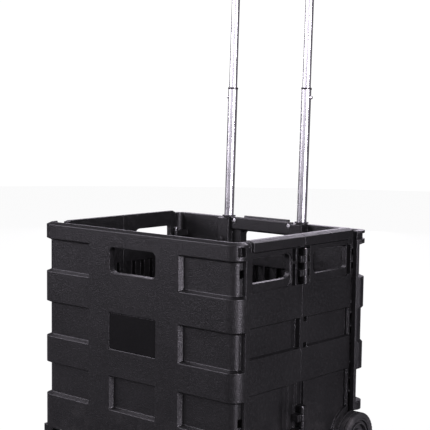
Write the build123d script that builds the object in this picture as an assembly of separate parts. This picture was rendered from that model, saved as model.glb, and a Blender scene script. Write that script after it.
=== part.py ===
"""Folding crate trolley on two wheels, with a telescopic handle.

Millimetres, +Z up, X across, front panel towards -Y.
The origin is on the ground at the middle of the trolley's outline.

The crate is a rigid back panel, a front panel and two sides.  Each side is two half panels that
fold inwards on a centre hinge, so that the front panel travels straight back onto the back panel.
The floor hinges up against the back panel first.
"""
from build123d import *
import math
import os

# ---------------------------------------------------------------- driving dimensions
CRATE_W = 420.0            # front panel, over the bands
CRATE_D = 338.0            # front face to back face
MID_Y = -9.25              # middle of the crate, so that front face and wheels balance the origin
RIM_TOP = 387.5            # inner lip of the rim above the ground
RIM_SLOPE = (3.5, 8.0)     # the lip falls by this much over this width
RIM_LOW = 366.0            # bottom of the rim
WALL_LOW = 44.0            # bottom of the crate walls
CORNER_R = 20.0            # outside corners of the front and back panels
WALL = 11.0                # moulded wall, face of a band to the inner face
SKIN = 3.0                 # moulded skin
POCKET = 8.0               # depth of the sunk panels between the bands
DRAFT = 3.5                # how far a sunk panel's sides lean in over that depth
ROWS = ((306.0, 361.5), (198.0, 257.0), (100.0, 155.0))   # sunk rows, low and high edges
COLUMN = (50.5, 96.7)      # edges of the vertical straps beside the middle column
HAND_HOLE = (99.0, 319.5, 360.0, 8.0)                      # width, low, high, corner radius
BACK_HOLE = (99.0, 333.5, 360.0, 8.0)
RETURN_FRONT = 25.0        # how far the front panel wraps round the corner
RETURN_BACK = 31.0
RETURN_LIP = 4.0           # plain edge at the end of a wrapped panel

SIDE_X = 200.5             # face of the side bands
SIDE_IN = 189.5            # inner face of the sides
SIDE_RIM_X = 204.9         # rim flange of the sides
SIDE_FRONT = 128.75        # half panel's outer end, in front of the middle
SIDE_BACK = 132.25         # and behind it
SEAM = 0.25                # half the gap between two halves
SIDE_HOLE = (30.0, 120.0, 323.0, 361.0, 10.0, 3.5)         # near, far, low, high, corner radii
SIDE_ROWS = ((210.0, 259.0), (60.0, 158.0))                # sunk rows of the sides
SIDE_BAND_TOP = 310.0
SIDE_POCKET = 5.0          # depth of the sunk rows
SIDE_BORDER = 126.0        # where the front half's sunk rows end
FLANGE = (191.2, 141.25, 137.0)    # inner x and reach of the flange past each outer end

HINGE_X = 186.0            # corner hinges
HINGE_Y = 131.0            # from the middle, front and back
CENTRE_X = 205.2           # centre hinges
BARREL_R = 4.2
PIN_R = 2.0
BORE_GAP = 0.05            # running fit on a hinge pin
PRESS_GAP = 0.02           # fit of two pieces that are fixed together
OPEN_GAP = 0.45            # clearance at the pivot where the linkage is left open
RELIEF = 0.5               # room round a neighbour's barrel
CORNER_KNUCKLES = (335.0, 228.0, 118.0)                    # heights of the corner hinges
CENTRE_KNUCKLES = ((312.5, 366.0), (61.0, 119.0))          # spans of the centre hinges

FLOOR = (179.0, 30.0, 39.5)                                # half width, low, high
FLOOR_AXIS = (132.75, 34.75)                               # behind the middle, above the ground
FLOOR_BARREL = 4.5
LEDGE = (138.5, 160.0, 28.0, 49.0)                         # axle beam: near, far, low, high
FOOT = (187.5, 208.0, 20.0, 5.0)                           # inner x, outer x, depth, pad height

WHEEL_R = 40.5
WHEEL_Y = MID_Y + 147.0
WHEEL_X = (191.0, 215.0)
ARCH = (143.5, 39.0, 47.0, 56.5)                           # behind the middle, height, radii
AXLE_R = 4.0

TUBE_X = 80.6
TUBE_Y = MID_Y + 156.75    # tube centre at the top of the back panel
TUBE_Z = 386.0
LEAN = 1.7                 # degrees that the handle leans back
OUTER = (9.5, 8.55)        # fixed tube, outside and inside radius
MIDDLE = (8.25, 7.4)
INNER = (7.1, 6.3)
OUTER_SPAN = (-316.0, -12.0)
MIDDLE_SPAN = (-106.0, 225.0)
INNER_SPAN = (165.0, 550.0)
INNER_TRAVEL = 249.0
GRIP_R = 10.8
GRIP_S = 568.0
SNAP_S = 210.0
LOCK_Z = 345.0             # push locks of the lower stage
LOCK_R = 3.2
SCREW_Z = 378.0            # screws of the back grip plate

FRONT_Y = MID_Y - CRATE_D / 2
BACK_Y = MID_Y + CRATE_D / 2
HALF_W = CRATE_W / 2
OUT = "parts"


# ---------------------------------------------------------------- small helpers
def block(x0, x1, y0, y1, z0, z1):
    """A box between two corners."""
    size = (x1 - x0, y1 - y0, z1 - z0)
    return Pos((x0 + x1) / 2, (y0 + y1) / 2, (z0 + z1) / 2) * Box(*size)


def rod(x, y, z0, z1, radius):
    """An upright cylinder."""
    return Pos(x, y, (z0 + z1) / 2) * Cylinder(radius, z1 - z0)


def rod_x(x0, x1, y, z, radius):
    """A cylinder along X."""
    return Pos((x0 + x1) / 2, y, z) * Rot(0, 90, 0) * Cylinder(radius, x1 - x0)


def rod_y(x, y0, y1, z, radius):
    """A cylinder along Y."""
    return Pos(x, (y0 + y1) / 2, z) * Rot(90, 0, 0) * Cylinder(radius, y1 - y0)


def tube(s0, s1, outside, inside):
    """An upright tube in the handle's own frame."""
    return rod(0, 0, s0, s1, outside) - rod(0, 0, s0 - 1, s1 + 1, inside)


def in_handle(side, shape):
    """Place a shape of the handle's own frame: side is -1, 0 or 1."""
    return Pos(side * TUBE_X, TUBE_Y, TUBE_Z) * Rot(-LEAN, 0, 0) * shape


def flip(shape):
    """The left-hand twin of a right-hand shape."""
    return mirror(shape, about=Plane.YZ)


def save(name, *shapes):
    """Write one node; several shapes stay separate solids."""
    solids = [solid for shape in shapes for solid in shape.solids()]
    part = solids[0] if len(solids) == 1 else Compound(children=solids)
    part.label = name
    export_step(part, f"{OUT}/{name}.step")


def outline(inset, radius, height):
    """The upright prism of the crate's outside outline, drawn in by an inset."""
    plan = RectangleRounded(CRATE_W - 2 * inset, CRATE_D - 2 * inset, radius)
    return Pos(0, MID_Y, 0) * extrude(plan, height)


def outer_ring():
    """The full wall all round, with the sloping lip; the panels are cut from it."""
    fall, width = RIM_SLOPE
    low = Pos(0, 0, WALL_LOW) * outline(0, CORNER_R, RIM_TOP - fall - WALL_LOW)
    plan = RectangleRounded(CRATE_W, CRATE_D, CORNER_R)
    lip = extrude(plan, fall, taper=math.degrees(math.atan2(width, fall)))
    lip = Pos(0, MID_Y, RIM_TOP - fall) * lip
    inner = Pos(0, 0, WALL_LOW - 1) * outline(WALL, CORNER_R - WALL, RIM_TOP)
    return (low + lip) - inner


def sunk_flat(x0, x1, z0, z1, depth=POCKET, lean=DRAFT, radius=2.5):
    """Cutter for a sunk panel in a face at y = 0 that looks along -Y."""
    rate = lean / depth
    grow = rate * 1.0
    plan = RectangleRounded(x1 - x0 + 2 * grow, z1 - z0 + 2 * grow, radius)
    cutter = extrude(plan, depth + 1.0, taper=math.degrees(math.atan(rate)))
    return Pos((x0 + x1) / 2, -1.0, (z0 + z1) / 2) * Rot(-90, 0, 0) * cutter


def sunk_corner(z0, z1, end, depth=POCKET):
    """Cutter for a sunk panel that wraps round the front right corner as far as `end`."""
    rate = DRAFT / depth
    start = 135.0
    path = Polyline((start, FRONT_Y), (HALF_W - CORNER_R, FRONT_Y))
    path += RadiusArc((HALF_W - CORNER_R, FRONT_Y), (HALF_W, FRONT_Y + CORNER_R), -CORNER_R)
    path += Line((HALF_W, FRONT_Y + CORNER_R), (HALF_W, end))
    plane = Plane(origin=(start, FRONT_Y, 0), x_dir=(0, 1, 0), z_dir=(1, 0, 0))
    corners = [(-2, z0 - 2 * rate), (depth, z0 + DRAFT), (depth, z1 - DRAFT), (-2, z1 + 2 * rate)]
    section = plane * make_face(Polyline(*corners, close=True))
    return sweep(section, path=path)


def cells(x_edges, z_edges, y_face, depth):
    """Boxes sunk into an inner face at y_face, towards -Y, between the edges given."""
    boxes = []
    for x0, x1 in x_edges:
        for z0, z1 in z_edges:
            boxes.append(block(x0, x1, y_face - depth, y_face + 1, z0, z1))
    return boxes


def pitch(start, stop, count, rib=2.0):
    """Split a span into `count` cells with ribs between them."""
    step = (stop - start) / count
    return [(start + i * step + rib / 2, start + (i + 1) * step - rib / 2) for i in range(count)]


def hand_cutter(width, low, high, radius, y0, y1):
    """A rounded hand hole along Y."""
    plan = RectangleRounded(width, high - low, radius)
    return Pos(0, y1, (low + high) / 2) * Rot(90, 0, 0) * extrude(plan, y1 - y0)


# ---------------------------------------------------------------- front and back panels
def weave(ring, reach, depths):
    """Sink the rows and columns of a front panel into its outer face, and its cores behind."""
    cutters = []
    for (z0, z1), depth in zip(ROWS, depths):
        right = Pos(0, FRONT_Y, 0) * sunk_flat(COLUMN[1], 150.0, z0, z1, depth=depth)
        wrap = sunk_corner(z0, z1, FRONT_Y + reach - RETURN_LIP, depth=depth)
        cutters += [right, flip(right), wrap, flip(wrap)]
    bands = [(ROWS[0][0] - 46, ROWS[0][0] - 5), (ROWS[1][0] - 38, ROWS[1][0] - 5), (50.0, 95.0)]
    inner = FRONT_Y + WALL
    cutters += cells(pitch(-186, 186, 14), bands, inner, POCKET)
    straps = [(-93.0, -75.0), (-73.0, -54.5), (54.5, 73.0), (75.0, 93.0)]
    rows = [(z0 + 5, z1 - 5) for z0, z1 in ROWS]
    cutters += cells(straps, rows, inner, POCKET)
    return ring - cutters


def corner_knuckles(side_y, wall_y, half):
    """Knuckles of the right corner hinge: the panel's, or the half panel's own."""
    shapes = []
    near, far = sorted((side_y, wall_y))
    for z in CORNER_KNUCKLES:
        spans = [(z - 6.0, z + 6.0)] if half else [(z - 16.0, z - 6.4), (z + 6.4, z + 16.0)]
        x0, x1 = (HINGE_X, SIDE_IN + 2) if half else (HINGE_X - BARREL_R, HINGE_X + BARREL_R)
        for z0, z1 in spans:
            shapes.append(rod(HINGE_X, side_y, z0, z1, BARREL_R))
            shapes.append(block(x0, x1, near, far, z0, z1))
    return shapes


def hinge_pins(name, axis_y):
    """The two long pins of a panel's corner hinges."""
    low, high = CORNER_KNUCKLES[-1] - 21, CORNER_KNUCKLES[0] + 21
    pin = rod(HINGE_X, axis_y, low, high, PIN_R) + rod(HINGE_X, axis_y, high, high + 1.6, PIN_R + 1.2)
    save(name, pin, flip(pin))


def pin_bores(axis_y, radius):
    """Cutters for both of a panel's corner pins."""
    bore = rod(HINGE_X, axis_y, CORNER_KNUCKLES[-1] - 30, CORNER_KNUCKLES[0] + 30, radius)
    return [bore, flip(bore)]


def front_panel():
    """The front wall with its wrapped corners, hand hole, label recess, feet and hinge knuckles."""
    ring = outer_ring() & block(-300, 300, FRONT_Y - 5, FRONT_Y + RETURN_FRONT, 0, 400)
    panel = weave(ring, RETURN_FRONT, (POCKET, POCKET, POCKET))
    label = Pos(0, FRONT_Y, 0) * sunk_flat(-50.5, 50.5, *ROWS[1], depth=2.6, lean=0.4, radius=2.0)
    low = Pos(0, FRONT_Y, 0) * sunk_flat(-COLUMN[0], COLUMN[0], *ROWS[2])
    hole = hand_cutter(*HAND_HOLE, FRONT_Y - 2, FRONT_Y + WALL + 2)
    panel = panel - [label, low, hole]
    axis_y = MID_Y - HINGE_Y
    for shape in corner_knuckles(axis_y, FRONT_Y + WALL - 1, half=False):
        panel = panel + shape + flip(shape)
    inner_x, outer_x, depth, pad = FOOT
    near = FRONT_Y + 1.5
    foot = block(inner_x, outer_x, near, near + depth, pad, WALL_LOW + 3)
    foot = foot.fillet(2.5, foot.edges().filter_by(Axis.Z))
    shelf = block(inner_x - 20, inner_x + 2, near + 2, near + depth - 2, 21.0, FLOOR[1] - 0.4)
    rib = block(inner_x - 1, inner_x + 6, FRONT_Y + WALL - 2, near + depth, WALL_LOW - 1, 60)
    panel = panel + foot + flip(foot) + shelf + flip(shelf) + rib + flip(rib)
    # small windows in the wrapped corners, and a pocket in the side of the rim's corner
    cutters = pin_bores(axis_y, PIN_R + PRESS_GAP)
    for z in (341.0, 122.0):
        gap = block(195, 205.2, FRONT_Y + 16.5, FRONT_Y + 24, z - 6, z + 6)
        cutters += [gap, flip(gap)]
    pocket = block(201.5, 220, FRONT_Y + 7.6, FRONT_Y + 19.8, RIM_LOW + 1.5, RIM_LOW + 15)
    cutters += [pocket, flip(pocket)]
    save("front_panel", panel - cutters)

    plate = RectangleRounded(99.0, 57.0, 1.6)
    plate = Pos(0, FRONT_Y + 2.6, (ROWS[1][0] + ROWS[1][1]) / 2) * Rot(90, 0, 0) * extrude(plate, 1.6)
    save("label_plate", plate)
    hinge_pins("front_corner_pins", axis_y)
    pad_plan = RectangleRounded(outer_x - inner_x - 1, depth - 1, 3)
    foot_pad = Pos((inner_x + outer_x) / 2, near + depth / 2, 0) * extrude(pad_plan, pad)
    save("foot_pads", foot_pad, flip(foot_pad))


def back_panel():
    """The back wall with its tube housings, hand hole, axle beam and hinge knuckles."""
    ring = outer_ring() & block(-300, 300, FRONT_Y - 5, FRONT_Y + RETURN_BACK, 0, 400)
    panel = weave(ring, RETURN_BACK, (POCKET, 3.5, POCKET + 0.5))
    for z0, z1 in ROWS[1:]:
        panel -= Pos(0, FRONT_Y, 0) * sunk_flat(-COLUMN[0], COLUMN[0], z0, z1, depth=3.5)
    groove = outline(-5, CORNER_R + 5, 9.5) - outline(3.5, CORNER_R - 3.5, 9.5)
    panel -= Pos(0, 0, 368.5) * groove
    # turn the woven wall round to the back
    panel = Pos(0, 2 * MID_Y, 0) * Rot(0, 0, 180) * panel
    panel = panel - block(-300, 300, 0, 300, 382.0, 400)
    y_in = BACK_Y - WALL
    lower = block(-188, 188, y_in, BACK_Y, LEDGE[2], WALL_LOW + 1)
    beam = block(-187, 187, MID_Y + LEDGE[0], MID_Y + LEDGE[1], LEDGE[2], LEDGE[3])
    panel = panel + lower + beam
    grip_bar = block(-49, 49, y_in + 3, BACK_Y - 3, 380, RIM_TOP - 0.8)
    panel += grip_bar.fillet(2.0, grip_bar.edges().filter_by(Axis.X).group_by(Axis.Z)[-1])
    house = block(TUBE_X - 12.5, TUBE_X + 12.5, MID_Y + 138.75, BACK_Y, LEDGE[3] - 1, 382.0)
    house = house.fillet(3.0, house.edges().filter_by(Axis.Z).group_by(Axis.Y)[0])
    jamb = block(HAND_HOLE[0] / 2 - 1, TUBE_X - 11, MID_Y + 151, y_in + 1, 302, 382.0)
    panel = panel + house + flip(house) + jamb + flip(jamb)
    axis_y = MID_Y + HINGE_Y
    for shape in corner_knuckles(axis_y, y_in + 1, half=False):
        panel = panel + shape + flip(shape)
    # floor hinge knuckles on the beam
    floor_y, floor_z = MID_Y + FLOOR_AXIS[0], FLOOR_AXIS[1]
    for x0, x1 in ((-168, -112), (-34, 34), (112, 168)):
        panel += rod_x(x0, x1, floor_y, floor_z, FLOOR_BARREL)
        arm = (floor_z - FLOOR_BARREL, floor_z + FLOOR_BARREL)
        panel += block(x0, x1, floor_y, MID_Y + LEDGE[0] + 1, *arm)
    # the ends of the returns slope in, towards the half panels
    end_y = BACK_Y - RETURN_BACK
    wedge = [(206.4, end_y - 1), (HALF_W + 1, end_y - 1), (HALF_W + 1, end_y + 11)]
    slope = extrude(make_face(Polyline(*wedge, close=True)), 400)
    cutters = [slope, flip(slope), hand_cutter(*BACK_HOLE, MID_Y + 140, BACK_Y + 2)]
    for side in (-1, 1):
        bore = rod(0, 0, OUTER_SPAN[0] - 8, 20, OUTER[0] + 0.1)
        cutters.append(in_handle(side, bore))
        lock = rod_y(side * TUBE_X, MID_Y + 130, TUBE_Y - 2, LOCK_Z, LOCK_R + 0.4)
        cutters.append(lock)
    wheel_room = block(187.0, 230.0, MID_Y + 90, BACK_Y + 5, 0, 86.0)
    cutters += [wheel_room, flip(wheel_room)]
    cutters.append(rod_x(-200, 200, WHEEL_Y, WHEEL_R, AXLE_R + PRESS_GAP))
    cutters.append(rod_x(-190, 190, floor_y, floor_z, PIN_R + PRESS_GAP))
    cutters += pin_bores(axis_y, PIN_R + PRESS_GAP)
    save("back_panel", panel - cutters)
    hinge_pins("back_corner_pins", axis_y)
    save("floor_hinge_rod", rod_x(-170, 170, floor_y, floor_z, PIN_R))

    y_face = MID_Y + 146.0
    plate = block(-67.5, 67.5, y_face, MID_Y + 150.9, 362.5, 384.5)
    plate = plate.fillet(2.0, plate.edges().group_by(Axis.Y)[0])
    screws = []
    for x in (-60.0, 60.0):
        head_y = y_face + 2.2
        plate -= rod_y(x, y_face - 1, head_y + 5, SCREW_Z, 2.1)
        plate -= rod_y(x, y_face - 1, head_y, SCREW_Z, 4.3)
        head = rod_y(x, y_face + 0.3, head_y, SCREW_Z, 3.9)
        screws.append(head + rod_y(x, head_y - 0.1, MID_Y + 150.9, SCREW_Z, 2.0))
    save("back_grip_plate", plate)
    save("grip_plate_screws", *screws)


# ---------------------------------------------------------------- side half panels
def centre_spans():
    """Heights of the centre hinge's knuckles, alternately the back half's and the front half's."""
    spans = {"back": [], "front": []}
    for low, high in CENTRE_KNUCKLES:
        step = (high - low) / 5
        for i in range(5):
            name = "back" if i % 2 == 0 else "front"
            spans[name].append((low + i * step + 0.3, low + (i + 1) * step - 0.3))
    return spans


def half_panel(front):
    """The right back or right front half panel, without its bores.

    `u` is the distance from the middle seam towards the outer end.
    """
    far = SIDE_FRONT if front else SIDE_BACK
    name, other = ("front", "back") if front else ("back", "front")

    def at(u):
        return MID_Y - u if front else MID_Y + u

    def piece(x0, x1, u0, u1, z0, z1):
        return block(x0, x1, min(at(u0), at(u1)), max(at(u0), at(u1)), z0, z1)

    def window(u0, u1, z0, z1, seam_radius, end_radius, x0, x1):
        plan = Rectangle(u1 - u0, z1 - z0)
        near, end = (-1, 0) if front else (0, -1)
        plan = fillet(plan.vertices().group_by(Axis.X)[near], seam_radius)
        plan = fillet(plan.vertices().group_by(Axis.X)[end], end_radius)
        hole = Rot(0, 90, 0) * Rot(0, 0, 90) * extrude(plan, x1 - x0)
        return Pos(x0, at((u0 + u1) / 2), (z0 + z1) / 2) * hole

    def along(points, u0, u1):
        """A profile in X and Z, drawn out from u0 to u1."""
        face = Plane.XZ * make_face(Polyline(*points, close=True))
        return Pos(0, min(at(u0), at(u1)), 0) * extrude(face, u0 - u1)

    body = piece(SIDE_IN, SIDE_X, SEAM, far, WALL_LOW + 0.5, RIM_TOP - 2)
    flange_x, reach = FLANGE[0], FLANGE[1] if front else FLANGE[2]
    skin = SIDE_X if front else SIDE_X - 3.5
    body += piece(flange_x, skin, far - 1, reach, 60.0, 378.0)
    fall, width = RIM_SLOPE
    low = RIM_TOP - fall
    body += piece(SIDE_X - 1, SIDE_RIM_X, SEAM, far - 4.0, 370.5, low)
    body -= piece(SIDE_IN - 1, SIDE_RIM_X + 1, 0, far + 1, low, RIM_TOP)
    slope = [(SIDE_IN, low), (SIDE_RIM_X, low), (SIDE_RIM_X - width, RIM_TOP), (SIDE_IN, RIM_TOP)]
    body += along(slope, SEAM, far - 4.0)
    body += piece(SIDE_IN, SIDE_X, far - 4.1, far, low - 0.1, RIM_TOP - 2)

    # sunk rows, whose floors curve inwards to a slot beside the hinge
    cutters = []
    floor_x = SIDE_X - SIDE_POCKET
    end = SIDE_BORDER if front else far + 1
    for (z0, z1), start, slot in zip(SIDE_ROWS, (17.0, 15.0), (14.2, 32.0)):
        sides = [(SIDE_X + 1, z0 - 0.5), (floor_x, z0 + DRAFT)]
        sides += [(floor_x, z1 - DRAFT), (SIDE_X + 1, z1 + 0.5)]
        cutters.append(along(sides, slot if front else start, end))
        if front:
            run = 6.0 if z0 > 200 else 24.0
            sag = floor_x - SIDE_IN - 1.2
            radius = (run * run + sag * sag) / (2 * sag)
            cut = piece(SIDE_IN + 1.2, SIDE_X, slot, slot + run, z0 + DRAFT, z1 - DRAFT)
            cutters.append(cut - rod(floor_x - radius, at(slot + run), z0, z1, radius))
    z0, z1 = SIDE_ROWS[0]
    if front:
        cutters.append(piece(SIDE_IN + 1.5, SIDE_X + 1, 4.0, 14.3, z0 + 0.5, z1 - 0.5))
    else:
        cutters.append(piece(SIDE_X - 1.0, SIDE_X + 1, SEAM - 1, 17.1, z0, z1))
        for z in (z0 + 4.0, z1 - 4.5):
            cutters.append(piece(SIDE_IN + 2, SIDE_X + 1, 6.0, 15.0, z - 4.0, z + 4.0))
    z0, z1 = SIDE_ROWS[1]
    cutters.append(piece(SIDE_X - POCKET, SIDE_RIM_X, SEAM - 1, 32.0 if front else 15.1, z0, z1 - 0.5))
    for u0, u1 in ((5.0, 15.4), (20.6, 32.0)) if front else ((4.0, 15.1),):
        cutters.append(piece(SIDE_IN + 1.2, SIDE_X, u0, u1, z0 + 3, z1 - 1.5))

    # hand hole row: a shallow frame round the hole, and the hinge's cells beside the seam
    u0, u1, z0, z1, seam_radius, end_radius = SIDE_HOLE
    border = 3.0
    frame = (u0 - border, u1 + border, SIDE_BAND_TOP, z1 + 2.5, seam_radius + border, 4.0)
    cutters.append(window(*frame, SIDE_X - 2.5, SIDE_X + 1))
    cutters.append(window(*SIDE_HOLE, SIDE_IN - 1, SIDE_X + 1))
    strip = 13.5 if front else 19.0
    low, high = SIDE_BAND_TOP + 0.5, 367.5
    cutters.append(piece(SIDE_X - POCKET, SIDE_RIM_X + 1, SEAM - 1, strip, low, high))
    if front:
        cutters.append(piece(SIDE_IN + 1.2, SIDE_X + 1, 17.5, 26.5, low, 344.0))
        cutters.append(piece(SIDE_IN + 1.2, SIDE_X + 1, 17.5, 26.5, 347.5, high))
    else:
        cutters.append(piece(SIDE_IN + 1.2, SIDE_X + 1, 4.0, 16.5, low + 1, high - 1.5))
        for z0, z1 in ((212.0, 257.0), (92.0, 156.0), (313.0, 360.5)):
            cutters.append(piece(SIDE_IN + 1.5, SIDE_X + 1, far - 9.5, far - 2.5, z0, z1))
    # cores on the inner face, and the channel under the rim
    for z0, z1 in ((264.0, 305.0), (163.0, 205.0)):
        for v0, v1 in pitch(8, far - 12, 5):
            cutters.append(piece(SIDE_IN - 1, SIDE_X - SKIN, v0, v1, z0, z1))
    for z0, z1 in ((215.0, 254.0), (112.0, 153.0), (66.0, 107.0)):
        for v0, v1 in pitch(60, far - 16, 3):
            cutters.append(piece(SIDE_IN - 1, floor_x - 2.5, v0, v1, z0, z1))
    cutters.append(piece(SIDE_X - 7, SIDE_RIM_X - 2.5, 6, far - 10, 368.5, 381.0))
    body = body - cutters
    if not front:
        arch_y = MID_Y + ARCH[0]
        bead = rod_x(floor_x - 0.5, SIDE_X - 1, arch_y, ARCH[1], ARCH[3])
        bead = bead & piece(floor_x - 1, SIDE_X, 20, far, WALL_LOW + 0.5, 150)
        body = body + bead - rod_x(SIDE_IN - 5, SIDE_X + 5, arch_y, ARCH[1], ARCH[2])

    # centre hinge: barrels on arms, with room round the other half's barrels
    spans = centre_spans()
    for z0, z1 in spans[other]:
        body -= rod(CENTRE_X, MID_Y, z0 - 0.6, z1 + 0.6, BARREL_R + RELIEF)
    for z0, z1 in spans[name]:
        body += rod(CENTRE_X, MID_Y, z0, z1, BARREL_R)
        body += piece(SIDE_X - POCKET - 1, CENTRE_X, SEAM, 11.0, z0, z1)
    # corner hinge: room round the panel's barrels, and own barrels
    axis_y = at(HINGE_Y)
    for z in CORNER_KNUCKLES:
        for z0, z1 in ((z - 16.0, z - 6.4), (z + 6.4, z + 16.0)):
            body -= rod(HINGE_X, axis_y, z0 - 0.4, z1 + 0.4, BARREL_R + RELIEF)
    for shape in corner_knuckles(axis_y, at(HINGE_Y - 5), half=True):
        body += shape
    return body


def bore_half(body, front, left):
    """Bore a half panel for its hinge pins; the open pivot has extra room."""
    axis_y = MID_Y - HINGE_Y if front else MID_Y + HINGE_Y
    gap = OPEN_GAP if front and left else BORE_GAP
    centre = rod(CENTRE_X, MID_Y, 55, 370, PIN_R + (BORE_GAP if front else 0.02))
    corner = rod(HINGE_X, axis_y, 90, 360, PIN_R + gap)
    return body - [centre, corner]


def sides():
    """Four half panels and the pins of the centre hinges."""
    back = half_panel(front=False)
    front = half_panel(front=True)
    pins = [rod(CENTRE_X, MID_Y, low - 0.5, high + 0.5, PIN_R) for low, high in CENTRE_KNUCKLES]
    save("right_back_side", bore_half(back, False, False))
    save("right_front_side", bore_half(front, True, False))
    save("left_back_side", flip(bore_half(back, False, True)))
    save("left_front_side", flip(bore_half(front, True, True)))
    save("right_centre_pins", *pins)
    save("left_centre_pins", *[flip(pin) for pin in pins])


# ---------------------------------------------------------------- floor
def floor_panel():
    """The floor: a skin on a grid of ribs, hinged on the axle beam."""
    half, low, high = FLOOR
    y0 = FRONT_Y + WALL + 1.5
    axis_y, axis_z = MID_Y + FLOOR_AXIS[0], FLOOR_AXIS[1]
    y1 = axis_y - 5.5
    plate = block(-half, half, y0, y1, low, high)
    plate = plate.fillet(6.0, plate.edges().filter_by(Axis.Z))
    for side in (-1, 1):
        x0, x1 = sorted((side * 172.0, side * (half + 1)))
        plate -= block(x0, x1, MID_Y + 80, y1 + 1, low - 1, high + 1)
    cutters = []
    for x0, x1 in pitch(-166, 166, 8, rib=2.4):
        for v0, v1 in pitch(y0 + 8, y1 - 8, 7, rib=2.4):
            cutters.append(block(x0, x1, v0, v1, low - 1, high - SKIN))
    slots = [block(-150 + 60 * i, -110 + 60 * i, y0 + 40 + 50 * j, y0 + 45 + 50 * j, low, high + 1)
             for i in range(6) for j in range(5)]
    plate = plate - cutters
    plate -= [s & block(-200, 200, -300, 300, high - 1.0, high + 1) for s in slots]
    for x0, x1 in ((-110, -36), (36, 110)):
        plate += rod_x(x0, x1, axis_y, axis_z, FLOOR_BARREL)
        plate += block(x0, x1, y1 - 1, axis_y, axis_z - FLOOR_BARREL, axis_z + FLOOR_BARREL)
    plate -= rod_x(-180, 180, axis_y, axis_z, PIN_R + BORE_GAP)
    save("floor_panel", plate)


# ---------------------------------------------------------------- handle
def handle():
    """Three nested tubes a side, with bushes, collars, lock buttons and a moulded grip."""
    outer = tube(*OUTER_SPAN, *OUTER)
    outer_plug = rod(0, 0, OUTER_SPAN[0] - 6, OUTER_SPAN[0], OUTER[0])
    bush = tube(OUTER_SPAN[1], -2.5, OUTER[0], OUTER[1]) + tube(-2.5, 0, OUTER[0] + 2.2, OUTER[1])
    middle = tube(*MIDDLE_SPAN, *MIDDLE)
    middle -= Pos(8, 0, SNAP_S) * Rot(0, 90, 0) * Cylinder(3.2, 8)
    collar = tube(MIDDLE_SPAN[1] - 1.6, MIDDLE_SPAN[1], MIDDLE[0] + 0.75, MIDDLE[0] + PRESS_GAP)
    collar += tube(MIDDLE_SPAN[1], MIDDLE_SPAN[1] + 1.6, MIDDLE[0] + 0.75, MIDDLE[1])
    middle_plug = rod(0, 0, MIDDLE_SPAN[0], MIDDLE_SPAN[0] + 8, MIDDLE[1])
    inner = tube(*INNER_SPAN, *INNER)
    for s in (SNAP_S, SNAP_S + INNER_TRAVEL):
        inner -= Pos(6, 0, s) * Rot(0, 90, 0) * Cylinder(3.5, 8)
    inner_plug = rod(0, 0, INNER_SPAN[0] - 2.5, INNER_SPAN[0], INNER[0])
    inner_plug += rod(0, 0, INNER_SPAN[0], INNER_SPAN[0] + 12, INNER[1])
    outer -= rod_y(0, -12, -3, LOCK_Z - TUBE_Z, LOCK_R + 0.3)
    lock = rod_y(TUBE_X, MID_Y + 135.0, MID_Y + 145.2, LOCK_Z, LOCK_R)
    lock = lock.fillet(0.9, lock.edges().group_by(Axis.Y)[0])
    snap = Pos(9.9, 0, SNAP_S) * Rot(0, 90, 0) * Cylinder(2.9, 4.6)
    snap = snap.fillet(1.2, snap.edges().group_by(Axis.X)[-1])
    spring = spring_leaf()

    for side, word in ((1, "right"), (-1, "left")):
        turned = (lambda shape, side=side: in_handle(side, shape if side > 0 else flip(shape)))
        save(f"outer_tube_{word}", turned(outer))
        save(f"middle_tube_{word}", turned(middle))
        save(f"inner_tube_{word}", turned(inner))
        save(f"snap_button_{word}", turned(snap))
        save(f"lock_button_{word}", lock if side > 0 else flip(lock))
    pair = (lambda shape: (in_handle(1, shape), in_handle(-1, flip(shape))))
    save("tube_bushes", *pair(bush))
    save("outer_tube_plugs", *pair(outer_plug))
    save("middle_tube_collars", *pair(collar))
    save("middle_tube_plugs", *pair(middle_plug))
    save("inner_tube_plugs", *pair(inner_plug))
    save("snap_springs", *pair(spring))
    grip()


def spring_leaf():
    """A V of spring strip inside the inner tube, behind the lock button."""
    low = INNER_SPAN[0] + 12.5
    leg = block(2.6, 3.2, -2.5, 2.5, low + 3, SNAP_S + 8)
    back = block(-5.4, -4.8, -2.5, 2.5, low + 3, SNAP_S + 8)
    bend = block(-5.4, 3.2, -2.5, 2.5, low + 2.4, low + 3.1)
    return leg + back + bend


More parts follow.
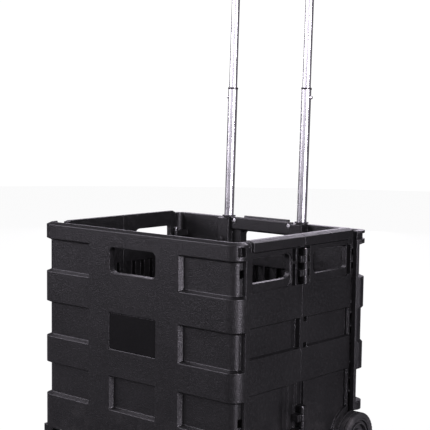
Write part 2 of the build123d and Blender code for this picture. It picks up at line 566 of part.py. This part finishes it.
def grip():
    """The moulded grip: two shells that clamp the inner tubes, a soft sleeve and four screws."""
    bend = 26.0
    low = 520.0
    path = FilletPolyline((-TUBE_X, 0, low), (-TUBE_X, 0, GRIP_S), (TUBE_X, 0, GRIP_S),
                          (TUBE_X, 0, low), radius=bend)
    start = Plane(origin=(-TUBE_X, 0, low), z_dir=(0, 0, 1))
    body = sweep(start * Circle(GRIP_R), path=path)
    hollow = sweep(start * Circle(GRIP_R - 3.0), path=path)
    core = block(-200, 200, -50, 50, INNER_SPAN[1] + 1, 700)
    body = body - (hollow & core)
    sockets = [Pos(side * TUBE_X, 0, 0) * rod(0, 0, low - 1, INNER_SPAN[1] + 1.01, INNER[0] + 0.02)
               for side in (-1, 1)]
    body = body - sockets
    screws = []
    for x in (-62.0, 62.0):
        body -= rod_y(x, -3, GRIP_R + 1, GRIP_S - 9.3, 1.3)
        body -= rod_y(x, 2.6, GRIP_R + 1, GRIP_S - 9.3, 2.4)
        screw = rod_y(x, 2.6, 4.4, GRIP_S - 9.3, 2.35) + rod_y(x, -2.5, 2.7, GRIP_S - 9.3, 1.25)
        screws.append(screw)
    front = body & block(-200, 200, -50, 0, 400, 700)
    back = body & block(-200, 200, 0, 50, 400, 700)
    sleeve = Rot(0, 90, 0) * (Cylinder(GRIP_R + 2.0, 92) - Cylinder(GRIP_R + 0.05, 94))
    sleeve = Pos(0, 0, GRIP_S) * sleeve
    save("grip_front_shell", in_handle(0, front))
    save("grip_back_shell", in_handle(0, back))
    save("grip_sleeve", in_handle(0, sleeve))
    save("grip_screws", *[in_handle(0, screw) for screw in screws])


# ---------------------------------------------------------------- wheels
def wheels():
    """Axle, spacers and end caps on the back panel; a hub and a tyre on each wheel."""
    y, z = WHEEL_Y, WHEEL_R
    x0, x1 = WHEEL_X
    save("axle", rod_x(-213.0, 213.0, y, z, AXLE_R))
    spacer = rod_x(187.1, x0 - 0.4, y, z, 8.0) - rod_x(180, 200, y, z, AXLE_R + PRESS_GAP)
    save("axle_spacers", spacer, flip(spacer))
    cap = rod_x(213.4, 217.0, y, z, 9.5)
    cap = cap.fillet(2.2, cap.edges().group_by(Axis.X)[-1])
    cap += rod_x(211.2, 213.5, y, z, 6.0)
    cap -= rod_x(205, 213.0, y, z, AXLE_R + PRESS_GAP)
    save("axle_caps", cap, flip(cap))
    tread = rod_x(x0, x1, y, z, WHEEL_R)
    tread = tread.fillet(4.0, tread.edges().filter_by(GeomType.CIRCLE))
    tyre = tread - rod_x(x0 - 5, x1 + 5, y, z, 31.0)
    hub = rod_x(x0 + 1.5, x1 - 1.5, y, z, 31.0)
    for face_x, end in ((x0 + 1.5, 1), (x1 - 1.5, -1)):
        for inner, outer, depth in ((24.0, 28.5, 5.0), (14.0, 21.5, 7.5)):
            a, b = sorted((face_x - end, face_x + end * depth))
            hub -= rod_x(a, b, y, z, outer) - rod_x(a - 1, b + 1, y, z, inner)
    hub -= rod_x(x1 - 4.5, x1 + 2, y, z, 10.2)
    hub -= rod_x(x0 - 5, x1 + 5, y, z, AXLE_R + 0.08)
    for word, side in (("right", 1), ("left", -1)):
        save(f"wheel_tyre_{word}", tyre if side > 0 else flip(tyre))
        save(f"wheel_hub_{word}", hub if side > 0 else flip(hub))


os.makedirs(OUT, exist_ok=True)
front_panel()
back_panel()
sides()
floor_panel()
handle()
wheels()
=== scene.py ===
# %% [markdown]
# # A folding crate trolley
# The real trolley is a black plastic crate on two wheels. Its sides fold in, its floor lifts, and
# a handle of nested aluminium tubes slides up from the back wall. The moulded shapes come from
# the CAD frame, which is fixed. This lesson gives every one of them a finish, models the small
# pieces that a CAD solid leaves plain, and sets up a white studio.

# %% Load the frame
import math

import bmesh
import bpy
from mathutils import Matrix, Vector


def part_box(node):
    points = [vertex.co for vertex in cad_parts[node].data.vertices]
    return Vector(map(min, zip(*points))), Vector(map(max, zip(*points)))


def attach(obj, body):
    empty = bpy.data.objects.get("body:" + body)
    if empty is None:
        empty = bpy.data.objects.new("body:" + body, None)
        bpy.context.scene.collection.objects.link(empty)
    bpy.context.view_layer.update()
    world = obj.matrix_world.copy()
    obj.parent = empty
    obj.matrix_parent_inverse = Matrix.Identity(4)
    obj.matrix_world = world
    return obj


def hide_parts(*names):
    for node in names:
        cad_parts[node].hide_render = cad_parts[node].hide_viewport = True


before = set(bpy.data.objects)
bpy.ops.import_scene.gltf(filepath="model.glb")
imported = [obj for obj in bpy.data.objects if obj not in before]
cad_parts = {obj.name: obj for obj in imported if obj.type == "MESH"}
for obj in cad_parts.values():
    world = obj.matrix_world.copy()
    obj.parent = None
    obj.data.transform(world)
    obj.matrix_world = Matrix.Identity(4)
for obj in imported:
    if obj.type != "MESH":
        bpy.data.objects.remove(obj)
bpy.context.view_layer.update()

# %% [markdown]
# ## Where the viewer stands
# The trolley is seen from its front right corner, from a little above the rim, with a long lens
# so that upright edges stay nearly parallel. A camera could be aimed with a Track To constraint.
# Angles say more: a camera looks along its own -Z, so turning it by almost a right angle about X
# lifts its gaze to the horizon, and turning it about Z walks round the object. A matrix product
# does both in one line.

# %% The camera
AZIMUTH = 0.712           # radians round the object
PITCH = 0.099             # radians below the horizon
ROLL = 0.012
STAND = (1.2480, -1.4304, 0.5902)
FOCAL_LENGTH = 97.0       # millimetres, on a sensor 36 wide
lens = bpy.data.cameras.new("viewer")
lens.sensor_width = 36.0
lens.lens = FOCAL_LENGTH
viewer = bpy.data.objects.new("viewer", lens)
bpy.context.scene.collection.objects.link(viewer)
stand = Matrix.Translation(STAND)
gaze = Matrix.Rotation(AZIMUTH, 4, "Z") @ Matrix.Rotation(math.pi / 2 - PITCH, 4, "X")
viewer.matrix_world = stand @ gaze @ Matrix.Rotation(ROLL, 4, "Z")
bpy.context.scene.camera = viewer
print("camera at", [round(v, 3) for v in viewer.matrix_world.translation])

# %% [markdown]
# ## Shader maths that reads like maths
# A material is a graph of nodes. Wiring it by hand hides the idea, so one small class wraps an
# output socket: adding or multiplying wires adds Math nodes, and `make` adds any other node.
# Settings such as an operation go in first, because they decide which sockets a node shows. A
# Math node turns a colour grey, so colours go through a Mix node.

# %% The wire class
class Wire:
    """An output socket; arithmetic on it adds Math nodes to its tree."""

    def __init__(self, socket):
        self.socket = socket
        self.tree = socket.id_data

    @staticmethod
    def make(tree, kind, settings=None, values=None, output=0):
        """Add one node: its settings first, then the values or links of its sockets."""
        node = tree.nodes.new("ShaderNode" + kind)
        for name, value in (settings or {}).items():
            setattr(node, name, value)
        for name, value in (values or {}).items():
            Wire.feed(tree, value, node.inputs[name])
        return Wire(node.outputs[output])

    @staticmethod
    def feed(tree, value, socket):
        """Give a socket a number, a colour or a link."""
        if isinstance(value, Wire):
            tree.links.new(value.socket, socket)
        else:
            socket.default_value = value

    def math(self, operation, a, b):
        return Wire.make(self.tree, "Math", {"operation": operation}, {0: a, 1: b})

    def __add__(self, other):
        return self.math("ADD", self, other)

    def __sub__(self, other):
        return self.math("SUBTRACT", self, other)

    def __rsub__(self, other):
        return self.math("SUBTRACT", other, self)

    def __mul__(self, other):
        return self.math("MULTIPLY", self, other)

    __radd__ = __add__
    __rmul__ = __mul__

    def between(self, low, high):
        """0 below low, 1 above high, smooth from one to the other."""
        values = {"Value": self, "From Min": low, "From Max": high}
        return Wire.make(self.tree, "MapRange", {"interpolation_type": "SMOOTHSTEP"}, values)


# A Mix node keeps sockets for numbers, vectors and colours side by side; these are its colour ones.
MIX_FACTOR, MIX_A, MIX_B, MIX_RESULT = 0, 6, 7, 2


def mix_colours(tree, factor, a, b):
    """A colour between a, where factor is 0, and b, where it is 1."""
    values = {MIX_FACTOR: factor, MIX_A: a, MIX_B: b}
    return Wire.make(tree, "Mix", {"data_type": "RGBA"}, values, output=MIX_RESULT)


print("wires ready:", ", ".join(n for n in vars(Wire) if not n.startswith("__")))

# %% [markdown]
# ## What every finish shares
# A pattern needs coordinates. An unwrapped UV map would do, but CAD pieces have none. Object
# coordinates are metres measured in the piece itself, so grain has the same size on every piece
# and stays on it when it moves. `noise` can be squeezed per axis, which turns round grain into
# streaks. A real edge is never knife sharp. The Bevel node rounds the light on it without
# touching the CAD mesh, and comparing its normal with the flat one finds the edges. That mask
# makes edges glossier, and on plastic and rubber paler: partly handling wear and partly a painted
# highlight.

# %% Starting a finish
def new_finish(name, roughness, metallic=0.0):
    """A fresh material, its tree, its shader and its coordinates in metres."""
    material = bpy.data.materials.new(name)
    material.use_nodes = True
    tree = material.node_tree
    shader = tree.nodes["Principled BSDF"]
    shader.inputs["Roughness"].default_value = roughness
    shader.inputs["Metallic"].default_value = metallic
    place = Wire.make(tree, "TexCoord", output="Object")
    return material, tree, shader, place


def noise(place, scale, detail=2.0, squeeze=(1, 1, 1)):
    """Noise from 0 to 1; scale is in lumps per metre."""
    tree = place.tree
    if squeeze != (1, 1, 1):
        place = Wire.make(tree, "Mapping", values={"Vector": place, "Scale": squeeze})
    return Wire.make(tree, "TexNoise", values={"Vector": place, "Scale": scale, "Detail": detail})


def grey(level, warmth=0.0):
    """A grey, a little warm or cool."""
    return (level * (1 + warmth), level, level * (1 - warmth), 1.0)


BEVEL_SAMPLES = 6
FULLY_TURNED = 0.18       # how far from flat a rounded normal counts as edge all through


def rounded(tree, radius):
    """A normal that turns softly over sharp edges, and a mask of where it does."""
    soft = Wire.make(tree, "Bevel", {"samples": BEVEL_SAMPLES}, {"Radius": radius})
    flat = Wire.make(tree, "NewGeometry", output="Normal")
    dot = {"operation": "DOT_PRODUCT"}
    alike = Wire.make(tree, "VectorMath", dot, {0: soft, 1: flat}, output="Value")
    return soft, (1 - alike).between(0.0, FULLY_TURNED)


def bump(tree, height, distance, normal):
    """A normal that follows a height of up to distance metres, on top of another normal."""
    values = {"Height": height, "Distance": distance, "Strength": 1.0, "Normal": normal}
    return Wire.make(tree, "Bump", values=values)


def finish(tree, shader, colour, shine, normal):
    """Feed the three sockets that vary over every finish."""
    for socket, value in (("Base Color", colour), ("Roughness", shine), ("Normal", normal)):
        Wire.feed(tree, value, shader.inputs[socket])


print("a middling grey is", grey(0.5))

# %% [markdown]
# ## Moulded black plastic
# The crate is polypropylene from a spark-eroded mould, so it has a fine satin grain. Its edges
# are polished by handling and painted paler, partly as handling wear and partly as a painted
# highlight that also runs along concave corners. Flow leaves faint clouds and mottles, and dust
# settles low down. An image of real grain would repeat and blur close up. Layers of noise at
# several sizes never repeat: the smallest ones press the grain, and the larger ones change colour
# and gloss.

# %% Moulded plastic
FINE_GRAIN = 1500         # lumps per metre, so each is under a millimetre
COARSE_GRAIN = 520
MOTTLES = 240
CLOUDS = 11
SCRATCHES = 60
DUST_PATCHES = 35
DUST_TOP = 0.16           # metres above the ground where dust ends
DUST_COLOUR = grey(0.11, 0.06)
SCRATCH_COLOUR = grey(0.09)
# how much paler edges are painted: partly wear, partly a painted highlight
EDGE_WEAR_AND_HIGHLIGHT = 0.05


def moulded_plastic(name, level, roughness, grain, edge, scuffed=1.0, specular=0.5):
    """Black plastic: level is its grey, grain its bump and edge its rounding in metres."""
    material, tree, shader, place = new_finish(name, roughness)
    shader.inputs["Specular IOR Level"].default_value = specular
    fine = noise(place, FINE_GRAIN, 3)
    coarse = noise(place, COARSE_GRAIN, 2)
    mottle = noise(place, MOTTLES, 3)
    cloud = noise(place, CLOUDS, 4)
    scratch = noise(place, SCRATCHES, 6, (1, 1, 9)).between(0.66, 0.72)
    soft, edges = rounded(tree, edge)
    # edge mask: partly handling wear, partly a painted highlight along every edge, concave corners
    # too
    wear_and_edge_highlight = edges * (0.35 + 0.65 * cloud)
    height = Wire.make(tree, "SeparateXYZ", values={"Vector": place}, output="Z")
    low_down = 1 - height.between(0.0, DUST_TOP)
    dust = low_down * noise(place, DUST_PATCHES, 5).between(0.4, 0.75)

    dark, pale = grey(level * 0.82), grey(level * 1.2)
    colour = mix_colours(tree, cloud.between(0.3, 0.7), dark, pale)
    speckled = fine.between(0.45, 0.8) * 0.5
    colour = mix_colours(tree, speckled, colour, grey(level * 1.9))
    mottled = mottle.between(0.5, 0.75) * 0.5 * scuffed
    colour = mix_colours(tree, mottled, colour, grey(level * 3.0))
    colour = mix_colours(tree, dust * 0.12 * scuffed, colour, DUST_COLOUR)
    colour = mix_colours(tree, scratch * 0.12 * scuffed, colour, SCRATCH_COLOUR)
    # edges painted paler: partly handling wear, partly a painted highlight
    colour = mix_colours(tree, wear_and_edge_highlight * 0.35, colour, grey(level + EDGE_WEAR_AND_HIGHLIGHT))

    shine = roughness + 0.16 * (fine - 0.5) + 0.4 * scuffed * (mottle - 0.5)
    shine = shine + 0.14 * (cloud - 0.5) - 0.14 * wear_and_edge_highlight + 0.15 * dust
    finish(tree, shader, colour, shine, bump(tree, 0.5 * fine + coarse, grain, soft))
    return material


crate_plastic = moulded_plastic("crate_plastic", 0.004, 0.39, 0.0004, 0.0018)
label_plastic = moulded_plastic("label_plastic", 0.0035, 0.22, 0.000008, 0.0006, 0.5, 0.25)
fitting_plastic = moulded_plastic("fitting_plastic", 0.014, 0.42, 0.00002, 0.0005, 0.3)
grip_plastic = moulded_plastic("grip_plastic", 0.014, 0.48, 0.00003, 0.0008, 0.4)
hub_plastic = moulded_plastic("hub_plastic", 0.022, 0.45, 0.00003, 0.0007)
print("plastics", crate_plastic.name, label_plastic.name, fitting_plastic.name,
      grip_plastic.name, hub_plastic.name)

# %% [markdown]
# ## Drawn aluminium
# The handle tubes are drawn through a die and then anodised, which leaves faint lines along them
# and a silky gloss. The Anisotropic setting of the shader could stretch the gloss, but the
# exported model loses it. Noise squeezed thin across the tube and long along it makes the lines
# instead. Anodised metal darkens where it is seen edge on, which the specular tint of a metal
# gives.

# %% Aluminium
DRAWN = (1600, 1600, 5)   # lines per metre across the tube, and along it
RUBS = (300, 300, 900)    # short marks round the tube, from sliding
HANDLING = 28
DULLED = grey(0.74, -0.004)


def drawn_aluminium(name):
    """Bright metal with lines drawn along Z."""
    material, tree, shader, place = new_finish(name, 0.28, 1.0)
    shader.inputs["Specular Tint"].default_value = grey(0.05)
    lines = noise(place, 1.0, 3, DRAWN)
    handling = noise(place, HANDLING, 4)
    rubbed = noise(place, 1.0, 2, RUBS).between(0.62, 0.75)
    soft, edges = rounded(tree, 0.0004)
    colour = mix_colours(tree, lines, grey(0.84, -0.006), grey(0.97, -0.004))
    colour = mix_colours(tree, handling.between(0.5, 0.8) * 0.25, colour, DULLED)
    shine = 0.22 + 0.1 * lines + 0.08 * handling.between(0.4, 0.7) + 0.08 * rubbed - 0.05 * edges
    finish(tree, shader, colour, shine, bump(tree, lines, 0.000012, soft))
    return material


tube_aluminium = drawn_aluminium("tube_aluminium")
print("metal", tube_aluminium.name)

# %% [markdown]
# ## Zinc-plated steel
# Screws, pins, the axle and the springs are plated. Plating has a fine crystal mottle and dulls
# where it has been handled. Noise alone looks like clouds. Voronoi cells have borders, as
# crystals do, so they give the mottle, and noise gives the dull patches.

# %% Steel
CRYSTALS = 900.0
DULL_PATCHES = 260


def plated_steel(name, level, roughness):
    """Grey metal with a crystal mottle."""
    material, tree, shader, place = new_finish(name, roughness, 1.0)
    cells = {"Vector": place, "Scale": CRYSTALS}
    crystal = Wire.make(tree, "TexVoronoi", {"feature": "F1"}, cells)
    dull = noise(place, DULL_PATCHES, 4)
    soft, edges = rounded(tree, 0.0003)
    colour = mix_colours(tree, crystal, grey(level * 0.9, 0.01), grey(level * 1.08, -0.01))
    colour = mix_colours(tree, dull.between(0.55, 0.8) * 0.3, colour, grey(level * 0.6, 0.03))
    shine = roughness + 0.2 * (dull - 0.4) - 0.08 * edges
    finish(tree, shader, colour, shine, bump(tree, dull, 0.00001, soft))
    return material


plated = plated_steel("plated_steel", 0.78, 0.28)
print("metal", plated.name)

# %% [markdown]
# ## Rubber
# The tyres, the feet and the soft sleeve of the grip are rubber: nearly black, matt, with a skin
# of tiny pits and a bloom of grey dust that collects in patches. A high roughness alone looks
# like cardboard, so the pits are bumped and the dust changes the gloss as well as the colour.

# %% Rubber
PITS = 1900
BLOOM_PATCHES = 45
BLOOM_COLOUR = grey(0.13, 0.05)


def soft_rubber(name, level, roughness, dusty):
    """Matt black with pits; dusty is how much bloom lies on it."""
    material, tree, shader, place = new_finish(name, roughness)
    shader.inputs["Specular IOR Level"].default_value = 0.35
    pits = noise(place, PITS, 3)
    patch = noise(place, BLOOM_PATCHES, 5)
    soft, edges = rounded(tree, 0.0006)
    colour = mix_colours(tree, pits, grey(level * 0.7), grey(level * 1.35))
    colour = mix_colours(tree, patch.between(0.45, 0.75) * dusty, colour, BLOOM_COLOUR)
    # edges painted paler: partly rubbed wear, partly a painted highlight along every edge
    colour = mix_colours(tree, edges * 0.3, colour, grey(level + 0.03))
    shine = roughness + 0.15 * (patch - 0.5) - 0.1 * edges
    finish(tree, shader, colour, shine, bump(tree, pits, 0.00006, soft))
    return material


tyre_rubber = soft_rubber("tyre_rubber", 0.018, 0.72, 0.35)
grip_rubber = soft_rubber("grip_rubber", 0.016, 0.62, 0.1)
foot_rubber = soft_rubber("foot_rubber", 0.02, 0.75, 0.5)
print("rubbers", tyre_rubber.name, grip_rubber.name, foot_rubber.name)

# %% [markdown]
# ## Dress the CAD pieces
# A CAD piece whose shape is right keeps its mesh and only changes what is in its material slot.
# Naming a finish for each of them would take a line a piece. Pieces of one kind have names that
# start alike, so a table from the start of a name to a finish is shorter. The longest match wins.

# %% Finishes of the CAD pieces
WEARS = {
    crate_plastic: "front_panel back_panel back_grip_plate right_ left_ floor_panel",
    label_plastic: "label_plate",
    tube_aluminium: "outer_tube middle_tube inner_tube",
    fitting_plastic: "outer_tube_plugs middle_tube_plugs inner_tube_plugs middle_tube_collars "
                     "tube_bushes lock_button axle_caps axle_spacers",
    plated: "snap_button snap_springs axle front_corner_pins back_corner_pins floor_hinge_rod "
            "right_centre_pins left_centre_pins grip_plate_screws grip_screws",
    grip_plastic: "grip_front_shell grip_back_shell",
    grip_rubber: "grip_sleeve",
    hub_plastic: "wheel_hub",
    tyre_rubber: "wheel_tyre",
    foot_rubber: "foot_pads",
}
finish_of = {start: wear for wear, starts in WEARS.items() for start in starts.split()}
for node_name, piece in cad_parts.items():
    start = max((k for k in finish_of if node_name.startswith(k)), key=len)
    for holder in piece.material_slots:
        holder.material = finish_of[start]
print(len(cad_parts), "CAD pieces dressed")

# %% [markdown]
# ## Turning on a lathe
# Tyres and sleeves are round about an axis along X. A Screw modifier turns an outline too, but
# every step of it is alike. This lathe spins a closed outline of (place along the axis, radius)
# points, and a small function may press each step, which is how the tread gets its blocks.

# %% The lathe
SHARP = math.radians(32)  # faces that meet at more than this keep a hard edge


def add_piece(name, build, material, body, stands_for=()):
    """Wrap a bmesh as a piece that rides on a body and stands for CAD nodes."""
    bmesh.ops.recalc_face_normals(build, faces=build.faces)
    mesh = bpy.data.meshes.new(name)
    build.to_mesh(mesh)
    build.free()
    mesh.polygons.foreach_set("use_smooth", [True] * len(mesh.polygons))
    mesh.set_sharp_from_angle(angle=SHARP)
    mesh.materials.append(material)
    piece = bpy.data.objects.new(name, mesh)
    bpy.context.scene.collection.objects.link(piece)
    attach(piece, body)
    if stands_for:
        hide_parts(*stands_for)
    print(name, len(mesh.vertices), "vertices")
    return piece


def spin(build, outline, centre, steps, press=None):
    """Spin a closed outline of (along, radius) about the X axis through centre."""
    rings = []
    for i in range(steps):
        angle = 2 * math.pi * i / steps
        ring = []
        for along, radius in outline:
            if press:
                radius = radius - press(i, along, radius)
            y = centre.y + radius * math.cos(angle)
            z = centre.z + radius * math.sin(angle)
            ring.append(build.verts.new((centre.x + along, y, z)))
        rings.append(ring)
    count = len(outline)
    for i in range(steps):
        here, there = rings[i], rings[(i + 1) % steps]
        for j in range(count):
            k = (j + 1) % count
            build.faces.new((here[j], here[k], there[k], there[j]))


def middle_of(node_name):
    """The middle and the size of a CAD node."""
    low, high = (Vector(corner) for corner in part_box(node_name))
    return (low + high) / 2, high - low


print("a tyre measures", [round(v, 4) for v in middle_of("wheel_tyre_right")[1]])

# %% [markdown]
# ## Tyres
# Each wheel has a black rubber tyre with two grooves round it and small blocks across its
# shoulders. The grooves could be cut with a Boolean, which leaves long thin faces. Here they are
# part of the outline, and the press lowers every fourth step of the shoulders to make the blocks.

# %% Tyres
BORE = 0.031              # metres, and so are the rest
SHOULDER = 0.004          # radius of the rounding between tread and wall
GROOVE = 0.0014           # its depth
GROOVE_SPAN = (0.0036, 0.0052)
GROOVE_LEAN = 0.0003
BLOCK = 0.0011            # depth pressed between two blocks
EASE = 0.0010             # small slopes at the bore
STEPS, STEPS_A_BLOCK, TURNS = 160, 4, 6
for side in ("right", "left"):
    centre, size = middle_of(f"wheel_tyre_{side}")
    half, outer = size.x / 2, size.z / 2
    # one half of the outline, from the bore to the edge of the tread, then to the middle
    wall = [(half - EASE, BORE), (half, BORE + 0.0012), (half, outer - SHOULDER - 0.0002)]
    for turn in range(1, TURNS):
        a = math.pi / 2 * turn / TURNS
        wall.append((half - SHOULDER * (1 - math.cos(a)), outer - SHOULDER * (1 - math.sin(a))))
    wall.append((half - SHOULDER, outer))
    near, far = GROOVE_SPAN
    wall += [(far, outer), (far - GROOVE_LEAN, outer - GROOVE)]
    wall += [(near + GROOVE_LEAN, outer - GROOVE), (near, outer)]
    outline = [(-along, radius) for along, radius in wall] + wall[::-1]

    def shoulder(step, along, radius):
        """Depth pressed into the shoulders on every fourth step."""
        on_shoulder = abs(along) > GROOVE_SPAN[1] + 0.0004 and radius > outer - 0.0035
        return BLOCK if on_shoulder and step % STEPS_A_BLOCK == 0 else 0.0

    build = bmesh.new()
    spin(build, outline, centre, STEPS, shoulder)
    stands_for = [f"wheel_tyre_{side}"]
    add_piece(f"tyre_{side}", build, tyre_rubber, f"{side}_wheel", stands_for)

# %% [markdown]
# ## The soft sleeve of the grip
# The hand closes on a rubber sleeve with rounded ribs round it. A bump could fake the ribs, but
# their outline shows against the light, so they are modelled. The same lathe does it: the outline
# is a row of small waves, with a plain band at each end.

# %% Grip sleeve
SLEEVE_BORE = 0.01085
RIBS, POINTS_A_RIB = 17, 6
PLAIN_BAND = 0.006
VALLEY, RIB_HEIGHT = 0.0010, 0.0009
ROUND_THE_SLEEVE = 64
centre, size = middle_of("grip_sleeve")
half, outer = size.x / 2, size.z / 2
end = [(half, SLEEVE_BORE), (half, outer - 0.0012), (half - 0.0008, outer - 0.0002),
       (half - 0.005, outer)]
outline = [(-along, radius) for along, radius in end]
points = RIBS * POINTS_A_RIB
for i in range(points + 1):
    along = -half + PLAIN_BAND + (2 * half - 2 * PLAIN_BAND) * i / points
    wave = 0.5 - 0.5 * math.cos(2 * math.pi * i / POINTS_A_RIB)
    outline.append((along, outer - VALLEY + RIB_HEIGHT * wave))
outline += end[::-1]
build = bmesh.new()
spin(build, outline, centre, ROUND_THE_SLEEVE)
add_piece("ribbed_sleeve", build, grip_rubber, "upper_stage", ["grip_sleeve"])

# %% [markdown]
# ## Cross-head screws
# The plate at the back and the grip are held by pan-head screws: a low dome with a cross sunk
# into it. Cutting the cross with a Boolean would work. Filling the flat between the dome's rim
# and the outline of the cross, then walling the cross down to a floor, gives cleaner faces and
# real depth.

# %% The screw
ROUND_A_SCREW = 40
DOME = ((0.72, 0.0), (0.88, 0.10), (0.96, 0.26), (1.0, 0.5), (1.0, 1.0))   # (radius, drop) shares
ARM, ARM_WIDTH, RECESS, TAPER = 0.62, 0.17, 0.32, 0.8    # shares of the head's radius


def add_screw(build, head, radius, depth, shank, length, facing):
    """A screw whose head looks along facing (1 or -1 on Y), with its head's face at head."""
    def put(x, z, down):
        return build.verts.new((head.x + x, head.y - facing * down, head.z + z))

    def ring(r, down):
        turns = [2 * math.pi * i / ROUND_A_SCREW for i in range(ROUND_A_SCREW)]
        return [put(r * math.cos(a), r * math.sin(a), down) for a in turns]

    def wall(here, there):
        for i in range(len(here)):
            j = (i + 1) % len(here)
            build.faces.new((here[i], here[j], there[j], there[i]))

    rings = [ring(radius * share, depth * drop) for share, drop in DOME]
    rings += [ring(shank, depth), ring(shank, length)]
    for here, there in zip(rings, rings[1:]):
        wall(here, there)
    build.faces.new(rings[-1])

    arm, wide = radius * ARM, radius * ARM_WIDTH
    corners = [(wide, arm), (wide, wide), (arm, wide), (arm, -wide), (wide, -wide), (wide, -arm),
               (-wide, -arm), (-wide, -wide), (-arm, -wide), (-arm, wide), (-wide, wide),
               (-wide, arm)]
    top = [put(x, z, 0.0) for x, z in corners]
    low = [put(x * TAPER, z * TAPER, radius * RECESS) for x, z in corners]
    edges = [build.edges.get((a, b)) for a, b in zip(rings[0], rings[0][1:] + rings[0][:1])]
    edges += [build.edges.new((a, b)) for a, b in zip(top, top[1:] + top[:1])]
    bmesh.ops.triangle_fill(build, use_beauty=True, edges=edges)
    for face in [f for f in build.faces if all(v in top for v in f.verts)]:
        build.faces.remove(face)
    wall(top, low)
    build.faces.new(low)


# %% [markdown]
# ## Where the screws go
# Two hold the grip plate and look into the crate, and two hold the grip's shells and look back.
# The CAD has a plain solid for each pair. Copying places by hand would go wrong when the CAD
# changes, so each head is found from the corners of that solid's box.

# %% The four screws
PLATE_HEAD, PLATE_DEPTH, PLATE_SHANK = 0.0039, 0.0019, 0.002
low, high = (Vector(corner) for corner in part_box("grip_plate_screws"))
build = bmesh.new()
for sign in (-1, 1):
    head = Vector((sign * (high.x - PLATE_HEAD), low.y, (low.z + high.z) / 2))
    add_screw(build, head, PLATE_HEAD, PLATE_DEPTH, PLATE_SHANK, high.y - low.y, -1)
add_piece("plate_screws", build, plated, "back_frame", ["grip_plate_screws"])

SHELL_HEAD, SHELL_DEPTH, SHELL_SHANK, SHELL_SHARE = 0.00235, 0.0016, 0.0012, 0.98
low, high = (Vector(corner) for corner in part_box("grip_screws"))
build = bmesh.new()
for sign in (-1, 1):
    head = Vector((sign * (high.x - SHELL_HEAD), high.y, high.z - SHELL_HEAD))
    length = (high.y - low.y) * SHELL_SHARE
    add_screw(build, head, SHELL_HEAD, SHELL_DEPTH, SHELL_SHANK, length, 1)
add_piece("shell_screws", build, plated, "upper_stage", ["grip_screws"])

# %% [markdown]
# ## The studio
# The object stands on a white floor in a white room, as in a catalogue. A room that is truly
# white all round would wash out black plastic, because every face would reflect it. Light Path
# tells what kind of ray asks: the eye sees white, and every other ray finds a dim room, so that
# only the softboxes shape the object. The floor glows the same way, as far as the eye reaches.

# %% Floor and room
FLOOR_RADIUS = 6.0
FLOOR_GREY = 0.2          # what the floor gives back to the undersides
FLOOR_GLOW = 1.58
GLOW_SHARE = 0.6          # the rest of what the eye sees is the lit floor, with its soft shadows
ROOM_LIGHT = 0.11
ROOM_SEEN = 1.05
COOL_WHITE = (1.0, 0.93, 1.07)


def white_floor():
    """A wide disc that the eye sees as white."""
    build = bmesh.new()
    bmesh.ops.create_circle(build, cap_ends=True, segments=96, radius=FLOOR_RADIUS)
    mesh = bpy.data.meshes.new("studio_floor")
    build.to_mesh(mesh)
    build.free()
    material, tree, shader, _ = new_finish("floor_white", 0.9)
    shader.inputs["Base Color"].default_value = grey(FLOOR_GREY)
    shader.inputs["Specular IOR Level"].default_value = 0.1
    glow = Wire.make(tree, "Emission", values={"Color": grey(1.0), "Strength": FLOOR_GLOW})
    eye = Wire.make(tree, "LightPath", output="Is Camera Ray")
    layers = {0: eye * GLOW_SHARE, 1: Wire(shader.outputs[0]), 2: glow}
    both = Wire.make(tree, "MixShader", values=layers)
    Wire.feed(tree, both, tree.nodes["Material Output"].inputs["Surface"])
    mesh.materials.append(material)
    floor = bpy.data.objects.new("studio_floor", mesh)
    bpy.context.scene.collection.objects.link(floor)


white_floor()
world = bpy.data.worlds.new("studio_room")
world.use_nodes = True
tree = world.node_tree
tree.nodes.remove(tree.nodes["Background"])
eye = Wire.make(tree, "LightPath", output="Is Camera Ray")
room = Wire.make(tree, "Background", values={"Color": (*COOL_WHITE, 1.0), "Strength": ROOM_LIGHT})
seen = Wire.make(tree, "Background", values={"Color": grey(1.0), "Strength": ROOM_SEEN})
both = Wire.make(tree, "MixShader", values={0: eye, 1: room, 2: seen})
Wire.feed(tree, both, tree.nodes["World Output"].inputs["Surface"])
bpy.context.scene.world = world
bpy.context.scene.view_settings.view_transform = "Standard"
print("floor glow", FLOOR_GLOW, "room light", ROOM_LIGHT)

# %% [markdown]
# ## Softboxes
# Black plastic shows its shape by what it reflects, so each lamp is placed for one kind of face.
# Sun or point lamps would leave hard dots. Area lamps are softboxes: their size is the width of
# the highlight. The right one draws the line down the rounded corner. The left one stands where
# the flat front mirrors it, and the upper left one catches the lips of the sunk panels. Two at
# the back light the far edges and the ledges, and a wide one beside the viewer fills the tubes.

# %% Lights
MIDDLE = (0.0, 0.0, 0.25)       # where the lamps look, unless told
TUBES = (0.0, 0.15, 0.8)


def softbox(name, place, size, power, aim=MIDDLE):
    """A flat light, size wide and high, at place that looks at aim."""
    lamp = bpy.data.lights.new(name, "AREA")
    lamp.shape = "RECTANGLE"
    lamp.size, lamp.size_y = size
    lamp.energy = power
    lamp.color = COOL_WHITE
    holder = bpy.data.objects.new(name, lamp)
    holder.location = place
    holder.rotation_euler = (Vector(aim) - Vector(place)).to_track_quat("-Z", "Y").to_euler()
    bpy.context.scene.collection.objects.link(holder)
    print(name, power, "W")


softbox("right_softbox", (2.24, -0.52, 0.8), (0.5, 1.1), 62.0)
softbox("left_softbox", (-1.75, -2.0, 1.45), (1.5, 1.5), 46.0)
softbox("upper_left_softbox", (-1.7, -0.8, 2.0), (1.1, 1.1), 20.0)
softbox("back_softbox", (-2.1, 2.5, 0.75), (1.5, 1.5), 13.0)
softbox("back_upper_softbox", (-0.9, 2.0, 1.6), (1.1, 1.1), 12.0)
softbox("viewer_softbox", (0.5, -2.5, 1.05), (2.4, 0.7), 9.0, TUBES)

# %% [markdown]
# Pieces that replace CAD nodes must not change the object's size.
